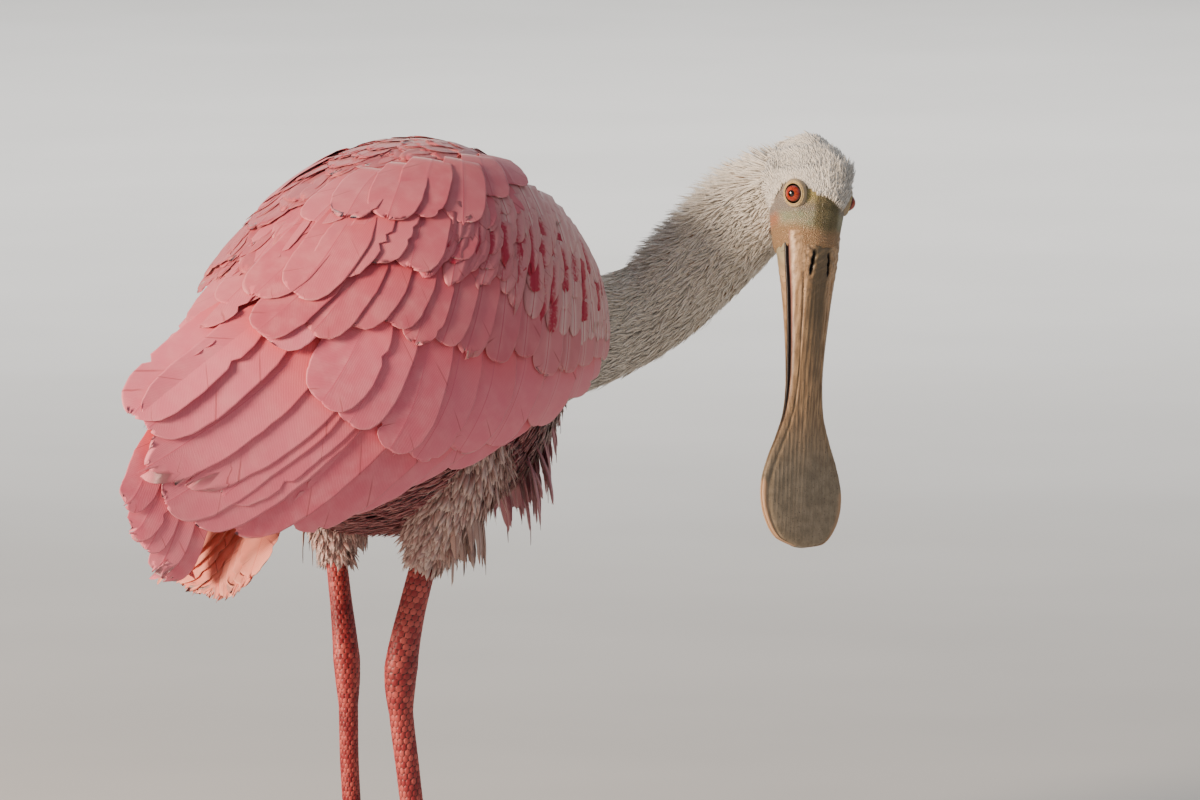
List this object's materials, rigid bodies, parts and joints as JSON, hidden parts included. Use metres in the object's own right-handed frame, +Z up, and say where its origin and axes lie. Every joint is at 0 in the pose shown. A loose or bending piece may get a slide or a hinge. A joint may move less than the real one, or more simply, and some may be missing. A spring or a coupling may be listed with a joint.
{
  "type": "wading bird",
  "caption": "Life-size roseate spoonbill standing on both feet, wings folded, long neck bent to its right and the spoon-ended bill hanging down.",
  "frame": {"origin": "middle of the whole bird's outline on the floor, level with the soles of its feet", "axes": "+X forward along the body, from tail to breast; +Y towards the bird's left side; +Z up"},
  "size_m": [0.4028, 0.2386, 0.3741],
  "materials": {
    "wing_plumage": "matte",
    "body_plumage": "matte",
    "tail_plumage": "matte",
    "neck_plumage": "matte",
    "head_plumage": "matte",
    "bill": "satin",
    "eye": "gloss",
    "leg_skin": "matte",
    "claw": "satin"
  },
  "bodies": {
    "root": {"torso": "body_plumage", "neck_lower": "neck_plumage", "neck_upper": "neck_plumage", "head": "head_plumage", "tail": "tail_plumage", "wing_right": "wing_plumage", "wing_left": "wing_plumage", "thigh_right": "body_plumage", "thigh_left": "body_plumage", "eye_right": "eye", "eye_left": "eye", "bill_upper": "bill", "bill_lower": "bill", "leg_right": "leg_skin", "leg_left": "leg_skin", "foot_right": "leg_skin", "foot_left": "leg_skin", "claw_right_1": "claw", "claw_right_2": "claw", "claw_right_3": "claw", "claw_right_4": "claw", "claw_left_1": "claw", "claw_left_2": "claw", "claw_left_3": "claw", "claw_left_4": "claw"}
  },
  "joints": []
}
